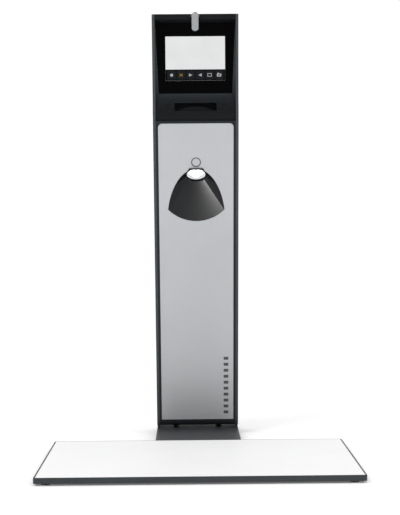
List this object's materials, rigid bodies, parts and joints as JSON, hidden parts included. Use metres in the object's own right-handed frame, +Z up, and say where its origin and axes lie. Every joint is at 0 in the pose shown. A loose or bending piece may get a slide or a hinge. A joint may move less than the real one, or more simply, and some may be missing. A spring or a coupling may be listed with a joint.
{
  "type": "document camera",
  "caption": "Desktop document camera: flat work surface, leaning column with a lamp scoop, and a head with a preview display and camera slot.",
  "frame": {"origin": "under the middle of the footprint, on the table", "axes": "+Z up, the front and the work surface face -Y, +X to the right seen from the front"},
  "size_m": [0.43, 0.5059, 0.6508],
  "materials": {
    "dark_paint": "satin",
    "dark_plastic": "fine texture",
    "white_surface": "matt laminate",
    "silver_front": "fine brushed",
    "rubber": "matt",
    "gloss_black": "gloss",
    "screen": "lit",
    "lamp_glass": "clear",
    "black_plastic": "matt",
    "satin_metal": "satin",
    "steel": "bright zinc",
    "bush_bronze": "sintered",
    "circuit": "solder resist",
    "cast": "cast",
    "mirror": "polished",
    "board": "pressed"
  },
  "bodies": {
    "base": {"base_tray": "dark_paint", "work_surface": "white_surface", "core_board": "board", "foot_plate": "dark_paint", "front_feet": "rubber", "middle_feet": "rubber", "rear_feet": "rubber", "hinge_bracket_left": "steel", "hinge_bracket_right": "steel", "bracket_screws": "steel", "hinge_pin": "steel"},
    "column": {"board_standoffs": "steel", "camera_bracket": "steel", "camera_housing": "cast", "camera_pocket": "black_plastic", "connector_panel": "black_plastic", "cover_screws": "steel", "display_bracket": "steel", "display_glass": "gloss_black", "display_module": "cast", "display_panel": "screen", "end_cap": "dark_plastic", "fold_mirror": "mirror", "front_frame": "dark_plastic", "front_panel": "silver_front", "head_bezel": "dark_plastic", "head_cover": "dark_plastic", "hinge_bushes": "bush_bronze", "hinge_knuckles": "steel", "hood": "dark_plastic", "lamp_board": "circuit", "lamp_glass": "lamp_glass", "lamp_housing": "black_plastic", "lamp_lenses": "lamp_glass", "lamp_sink": "cast", "lever_pin": "satin_metal", "light_scoop": "gloss_black", "main_board": "circuit", "marker_windows": "lamp_glass", "network_socket": "steel", "power_board": "circuit", "power_inlet": "black_plastic", "power_switch": "black_plastic", "rear_cover": "dark_plastic", "sensor_board": "circuit", "side_panel_left": "dark_paint", "side_panel_right": "dark_paint", "socket_board": "circuit", "spine": "steel", "usb_socket": "steel", "video_socket": "steel"},
    "lever": {"release_lever": "satin_metal"},
    "button": {"power_button": "black_plastic"},
    "zoom": {"lens_barrel": "black_plastic", "lens_group": "lamp_glass"}
  },
  "joints": [
    {"name": "column_fold", "type": "hinge", "parent": "base", "child": "column", "pos_m": [0, 0.19691, 0.0285], "axis": [1, 0, 0], "range_deg": [0, 74.8]},
    {"name": "lever_pull", "type": "hinge", "parent": "column", "child": "lever", "pos_m": [0, 0.0443, 0.64184], "axis": [-1, 0, 0], "range_deg": [0, 18], "stiffness_Nm_per_rad": 0.08, "springref_deg": -5.73},
    {"name": "button_press", "type": "slide", "parent": "column", "child": "button", "axis": [0, -0.9688, -0.2478], "range_m": [0, 0.001], "stiffness_N_per_m": 400, "springref_m": -0.0005},
    {"name": "zoom_slide", "type": "slide", "parent": "column", "child": "zoom", "axis": [0, 1, 0], "range_m": [0, 0.005]}
  ]
}
